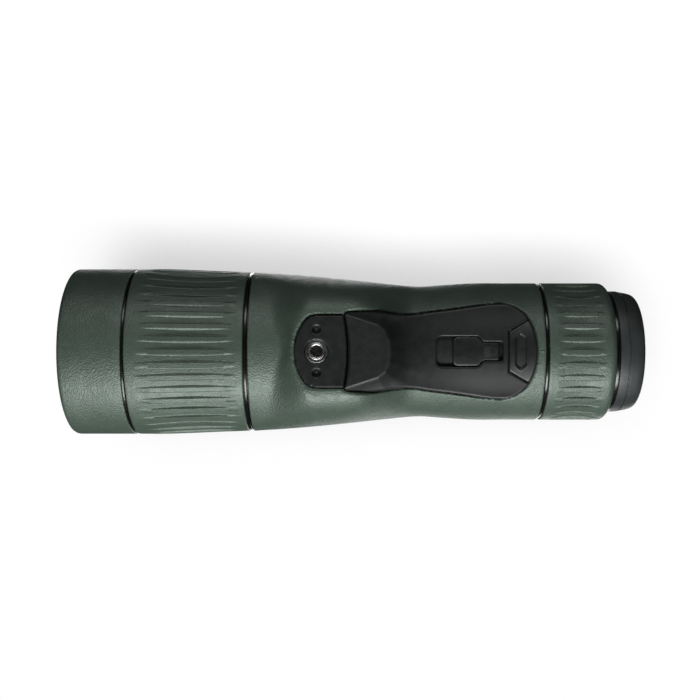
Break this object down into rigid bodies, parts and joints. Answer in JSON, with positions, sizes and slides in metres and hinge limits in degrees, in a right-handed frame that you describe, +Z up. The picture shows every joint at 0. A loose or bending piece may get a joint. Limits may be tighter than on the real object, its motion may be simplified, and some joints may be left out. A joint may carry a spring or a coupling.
{
  "type": "laser rangefinder",
  "caption": "Straight monocular laser rangefinder: rubber-armoured tube with focus and zoom rings, twist-up eyecup, tripod foot and hinged battery cover.",
  "frame": {"origin": "centre of the tripod socket's mouth, in the flat face of the foot", "axes": "+X along the optical axis from the objective to the eyepiece, +Y to the right of a user looking through it, +Z up from the foot to the buttons"},
  "size_m": [0.2755, 0.082, 0.0855],
  "materials": {
    "green_armour": "fine pebbled matt rubber",
    "eyecup_rubber": "smooth matt rubber",
    "button_rubber": "matt rubber",
    "black_anodised": "satin black",
    "gloss_black": "polished",
    "housing_plastic": "glass-filled, matt",
    "plate_black": "satin black",
    "cover_plastic": "fine spark-eroded texture",
    "lock_plastic": "smooth satin",
    "steel": "turned",
    "coated_glass": "coated",
    "seal_rubber": "matt",
    "battery_sleeve": "printed film without text",
    "brass_module": "turned",
    "circuit_board": "solder mask",
    "flex_film": "polyimide"
  },
  "bodies": {
    "housing": {"front_barrel": "black_anodised", "front_armour": "green_armour", "front_seam_ring": "gloss_black", "rear_seam_ring": "gloss_black", "objective_cell": "black_anodised", "objective_crown_lens": "coated_glass", "objective_flint_lens": "coated_glass", "objective_retainer": "black_anodised", "objective_o_ring": "seal_rubber", "barrel_grub_screws": "steel", "main_housing": "housing_plastic", "body_armour": "green_armour", "tripod_plate": "plate_black", "tripod_insert": "steel", "cover_hinge_pin": "steel", "battery_frame": "housing_plastic", "battery_seal": "seal_rubber", "battery": "battery_sleeve", "contact_spring": "steel", "contact_plate": "steel", "beam_splitter": "coated_glass", "laser_module": "brass_module", "receiver_module": "brass_module", "prism_cage": "housing_plastic", "front_prism": "coated_glass", "rear_prism": "coated_glass", "display_plate": "coated_glass", "main_board": "circuit_board", "board_screws": "steel", "flex_cable": "flex_film", "button_bezel": "eyecup_rubber", "dome_switches": "steel", "zoom_seam_ring": "gloss_black", "eyepiece_tube": "black_anodised", "guide_rods": "steel", "guide_ring": "black_anodised", "ocular_cell": "black_anodised", "eye_lens": "coated_glass", "neck_ring": "gloss_black"},
    "focus_ring": {"focus_core": "black_anodised", "focus_grip": "green_armour"},
    "focus_group": {"focus_carriage": "black_anodised", "focus_lens": "coated_glass"},
    "zoom_ring": {"zoom_core": "black_anodised", "zoom_grip": "green_armour", "zoom_drive_pin": "steel", "cam_sleeve": "black_anodised"},
    "front_zoom_group": {"front_zoom_cell": "black_anodised", "front_zoom_lens": "coated_glass"},
    "rear_zoom_group": {"rear_zoom_cell": "black_anodised", "rear_zoom_lens": "coated_glass"},
    "eyecup_key": {"eyecup_key_ring": "black_anodised"},
    "eyecup": {"eyecup_carrier": "black_anodised", "eyecup": "eyecup_rubber"},
    "range_button": {"range_button": "button_rubber"},
    "mode_button": {"mode_button": "button_rubber"},
    "battery_cover": {"battery_cover": "cover_plastic", "release_pin": "steel"},
    "lock_slider": {"lock_slider": "lock_plastic"},
    "release_tab": {"release_tab": "cover_plastic"}
  },
  "joints": [
    {"name": "focus_turn", "type": "hinge", "parent": "housing", "child": "focus_ring", "pos_m": [-0.062, 0, 0.0445], "axis": [1, 0, 0], "range_deg": [-135, 135]},
    {"name": "focus_travel", "type": "slide", "parent": "housing", "child": "focus_group", "axis": [1, 0, 0], "range_m": [-0.006, 0.006]},
    {"name": "zoom_turn", "type": "hinge", "parent": "housing", "child": "zoom_ring", "pos_m": [0.125, 0, 0.0445], "axis": [1, 0, 0], "range_deg": [0, 110]},
    {"name": "front_zoom_travel", "type": "slide", "parent": "housing", "child": "front_zoom_group", "axis": [1, 0, 0], "range_m": [0, 0.0078]},
    {"name": "rear_zoom_travel", "type": "slide", "parent": "housing", "child": "rear_zoom_group", "axis": [1, 0, 0], "range_m": [-0.0049, 0]},
    {"name": "eyecup_turn", "type": "hinge", "parent": "housing", "child": "eyecup_key", "pos_m": [0.145, 0, 0.0445], "axis": [1, 0, 0], "range_deg": [0, 120]},
    {"name": "eyecup_rise", "type": "slide", "parent": "eyecup_key", "child": "eyecup", "axis": [1, 0, 0], "range_m": [0, 0.0064]},
    {"name": "range_press", "type": "slide", "parent": "housing", "child": "range_button", "axis": [0, 0, -1], "range_m": [0, 0.001]},
    {"name": "mode_press", "type": "slide", "parent": "housing", "child": "mode_button", "axis": [0, 0, -1], "range_m": [0, 0.001]},
    {"name": "cover_open", "type": "hinge", "parent": "housing", "child": "battery_cover", "pos_m": [0.0169, 0, 0.0026], "axis": [0, 1, 0], "range_deg": [0, 70]},
    {"name": "lock_slide", "type": "slide", "parent": "battery_cover", "child": "lock_slider", "axis": [-1, 0, 0], "range_m": [0, 0.0075]},
    {"name": "tab_press", "type": "hinge", "parent": "battery_cover", "child": "release_tab", "pos_m": [0.0904, 0, 0.0116], "axis": [0, -1, 0], "range_deg": [0, 6]}
  ],
  "couplings": [
    {"joint": "focus_travel", "follows": "focus_turn", "m_per_rad": 0.0023343},
    {"joint": "front_zoom_travel", "follows": "zoom_turn", "m_per_rad": 0.0039065},
    {"joint": "rear_zoom_travel", "follows": "zoom_turn", "m_per_rad": -0.002396},
    {"joint": "eyecup_rise", "follows": "eyecup_turn", "m_per_rad": 0.0028648}
  ]
}
